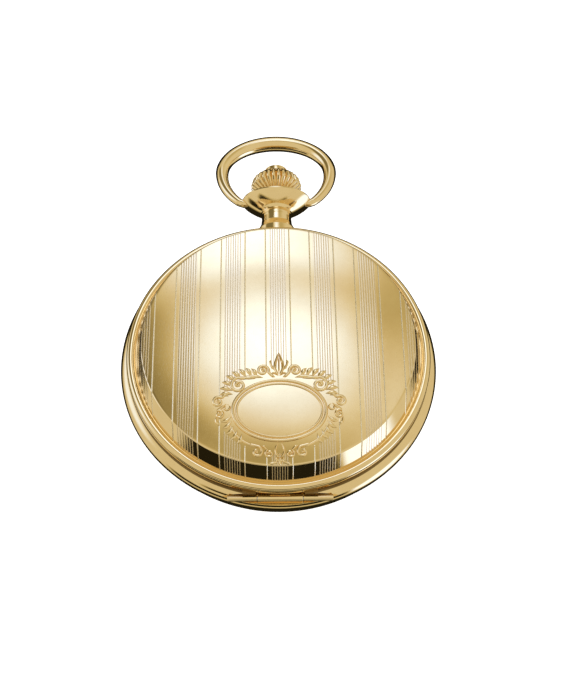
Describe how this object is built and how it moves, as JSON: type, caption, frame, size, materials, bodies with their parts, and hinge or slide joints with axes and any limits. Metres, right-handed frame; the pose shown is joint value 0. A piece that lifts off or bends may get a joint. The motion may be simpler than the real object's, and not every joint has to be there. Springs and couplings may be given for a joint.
{
  "type": "pocket watch",
  "caption": "Gold-tone hunter-case pocket watch with hinged lid, swinging bow, fluted winding crown, enamel dial and hand-wound movement.",
  "frame": {"origin": "centre of the case back's flat resting face", "axes": "+Z out through the lid, +Y towards the crown and bow (12 o'clock), +X to 3 o'clock; the lid's hinge is at -Y"},
  "size_m": [0.048, 0.0697, 0.014],
  "materials": {
    "gold_case": "gold plated, highly polished, with engraved lines on the lid",
    "gilt_brass": "gilt, fine grained",
    "polished_steel": "polished steel",
    "blued_steel": "heat blued steel",
    "crystal_glass": "clear domed glass",
    "dial_enamel": "white enamel",
    "ruby": "polished synthetic ruby"
  },
  "bodies": {
    "case": {"case_middle": "gold_case", "back_cover": "gold_case", "bezel": "gold_case", "crystal": "crystal_glass", "case_hinge_knuckle": "gold_case", "hinge_pin": "polished_steel", "lid_lift_spring": "polished_steel", "catch_screws": "polished_steel", "pendant": "gold_case", "crown_tube": "polished_steel", "movement_ring": "gilt_brass", "case_clamps": "polished_steel", "case_screws": "polished_steel", "dial": "dial_enamel", "main_plate": "gilt_brass", "barrel_bridge": "gilt_brass", "train_bridge": "gilt_brass", "balance_cock": "gilt_brass", "pallet_cock": "gilt_brass", "bridge_screws": "blued_steel", "plate_jewels": "ruby", "bridge_jewels": "ruby", "click_spring": "polished_steel", "hairspring": "blued_steel"},
    "lid": {"lid": "gold_case", "lid_hinge_knuckles": "gold_case"},
    "catch": {"lid_catch": "polished_steel"},
    "bow": {"bow": "gold_case"},
    "winding_pinions": {"winding_pinion": "polished_steel", "sliding_pinion": "polished_steel"},
    "crown": {"crown": "gold_case", "winding_stem": "polished_steel"},
    "barrel": {"mainspring_barrel": "gilt_brass", "barrel_cover": "gilt_brass", "mainspring": "polished_steel"},
    "barrel_arbor": {"barrel_arbor": "polished_steel", "ratchet_wheel": "polished_steel", "ratchet_screw": "blued_steel"},
    "crown_wheel": {"crown_wheel": "polished_steel", "crown_wheel_screw": "blued_steel"},
    "click": {"click": "polished_steel"},
    "centre_wheel": {"centre_wheel": "gilt_brass"},
    "third_wheel": {"third_wheel": "gilt_brass"},
    "seconds": {"fourth_wheel": "gilt_brass", "second_hand": "blued_steel"},
    "escape_wheel": {"escape_wheel": "polished_steel"},
    "pallet_fork": {"pallet_fork": "polished_steel"},
    "balance": {"balance_wheel": "gilt_brass", "balance_staff": "polished_steel"},
    "regulator": {"regulator": "polished_steel"},
    "setting_lever": {"setting_lever": "polished_steel"},
    "yoke": {"yoke": "polished_steel"},
    "setting_wheel": {"setting_wheel": "gilt_brass"},
    "minute": {"cannon_pinion": "polished_steel", "minute_hand": "blued_steel"},
    "minute_wheel": {"minute_wheel": "gilt_brass"},
    "hour": {"hour_wheel": "gilt_brass", "hour_hand": "blued_steel"}
  },
  "joints": [
    {"name": "lid_hinge", "type": "hinge", "parent": "case", "child": "lid", "pos_m": [0, -0.0229, 0.0073], "axis": [1, 0, 0], "range_deg": [0, 95]},
    {"name": "bow_swing", "type": "hinge", "parent": "case", "child": "bow", "pos_m": [0, 0.0304, 0.0056], "axis": [1, 0, 0], "range_deg": [-100, 145]},
    {"name": "crown_turn", "type": "hinge", "parent": "case", "child": "winding_pinions", "pos_m": [0, 0.009, 0.0056], "axis": [0, 1, 0], "continuous": true},
    {"name": "crown_slide", "type": "slide", "parent": "winding_pinions", "child": "crown", "axis": [0, 1, 0], "range_m": [-0.0004, 0.0008], "stiffness_N_per_m": 60},
    {"name": "catch_slide", "type": "slide", "parent": "case", "child": "catch", "axis": [0, 1, 0], "range_m": [-0.0004, 0], "stiffness_N_per_m": 3},
    {"name": "crown_wheel_turn", "type": "hinge", "parent": "case", "child": "crown_wheel", "pos_m": [0, 0.0062, 0.003], "axis": [0, 0, 1], "continuous": true},
    {"name": "ratchet_turn", "type": "hinge", "parent": "case", "child": "barrel_arbor", "pos_m": [-0.0076, 0.004, 0.003], "axis": [0, 0, 1], "continuous": true},
    {"name": "click_pivot", "type": "hinge", "parent": "case", "child": "click", "pos_m": [-0.0132, 0.0002, 0.003], "axis": [0, 0, 1], "range_deg": [0, 10]},
    {"name": "seconds_turn", "type": "hinge", "parent": "case", "child": "seconds", "pos_m": [0, -0.0088, 0.005], "axis": [0, 0, -1], "continuous": true},
    {"name": "third_turn", "type": "hinge", "parent": "case", "child": "third_wheel", "pos_m": [0.0046, -0.0044, 0.005], "axis": [0, 0, -1], "continuous": true},
    {"name": "centre_turn", "type": "hinge", "parent": "case", "child": "centre_wheel", "pos_m": [0, 0, 0.005], "axis": [0, 0, -1], "continuous": true},
    {"name": "barrel_turn", "type": "hinge", "parent": "case", "child": "barrel", "pos_m": [-0.0076, 0.004, 0.005], "axis": [0, 0, -1], "continuous": true},
    {"name": "escape_turn", "type": "hinge", "parent": "case", "child": "escape_wheel", "pos_m": [-0.0034, -0.0144, 0.005], "axis": [0, 0, -1], "continuous": true},
    {"name": "minute_turn", "type": "hinge", "parent": "case", "child": "minute", "pos_m": [0, 0, 0.008], "axis": [0, 0, -1], "continuous": true},
    {"name": "minute_wheel_turn", "type": "hinge", "parent": "case", "child": "minute_wheel", "pos_m": [0.00197, 0.00138, 0.0076], "axis": [0, 0, -1], "continuous": true},
    {"name": "hour_turn", "type": "hinge", "parent": "case", "child": "hour", "pos_m": [0, 0, 0.008], "axis": [0, 0, -1], "continuous": true},
    {"name": "setting_wheel_turn", "type": "hinge", "parent": "case", "child": "setting_wheel", "pos_m": [0.0009, 0.0047, 0.0076], "axis": [0, 0, -1], "continuous": true},
    {"name": "pallet_rock", "type": "hinge", "parent": "case", "child": "pallet_fork", "pos_m": [-0.0058, -0.01214, 0.0048], "axis": [0, 0, 1], "range_deg": [-5, 5]},
    {"name": "balance_swing", "type": "hinge", "parent": "case", "child": "balance", "pos_m": [-0.0098, -0.0084, 0.0042], "axis": [0, 0, 1], "range_deg": [-270, 270], "stiffness_Nm_per_rad": 0.0000012},
    {"name": "regulator_turn", "type": "hinge", "parent": "case", "child": "regulator", "pos_m": [-0.0098, -0.0084, 0.003], "axis": [0, 0, 1], "range_deg": [-20, 20]},
    {"name": "setting_lever_pivot", "type": "hinge", "parent": "case", "child": "setting_lever", "pos_m": [0.0042, 0.0135, 0.0076], "axis": [0, 0, 1], "range_deg": [-11, 5.6]},
    {"name": "yoke_pivot", "type": "hinge", "parent": "case", "child": "yoke", "pos_m": [-0.0046, 0.0134, 0.0076], "axis": [0, 0, 1], "range_deg": [-1.2, 1.2]}
  ],
  "couplings": [
    {"joint": "third_turn", "follows": "seconds_turn", "ratio": -0.13333},
    {"joint": "centre_turn", "follows": "seconds_turn", "ratio": 0.016667},
    {"joint": "barrel_turn", "follows": "seconds_turn", "ratio": -0.0025641},
    {"joint": "escape_turn", "follows": "seconds_turn", "ratio": -10},
    {"joint": "minute_turn", "follows": "seconds_turn", "ratio": 0.016667},
    {"joint": "minute_wheel_turn", "follows": "seconds_turn", "ratio": -0.0055556},
    {"joint": "hour_turn", "follows": "seconds_turn", "ratio": 0.0013889},
    {"joint": "setting_wheel_turn", "follows": "seconds_turn", "ratio": 0.0058824},
    {"joint": "crown_wheel_turn", "follows": "crown_turn", "ratio": 0.69565},
    {"joint": "ratchet_turn", "follows": "crown_turn", "ratio": -0.4},
    {"joint": "setting_lever_pivot", "follows": "crown_slide", "rad_per_m": -233.89}
  ]
}
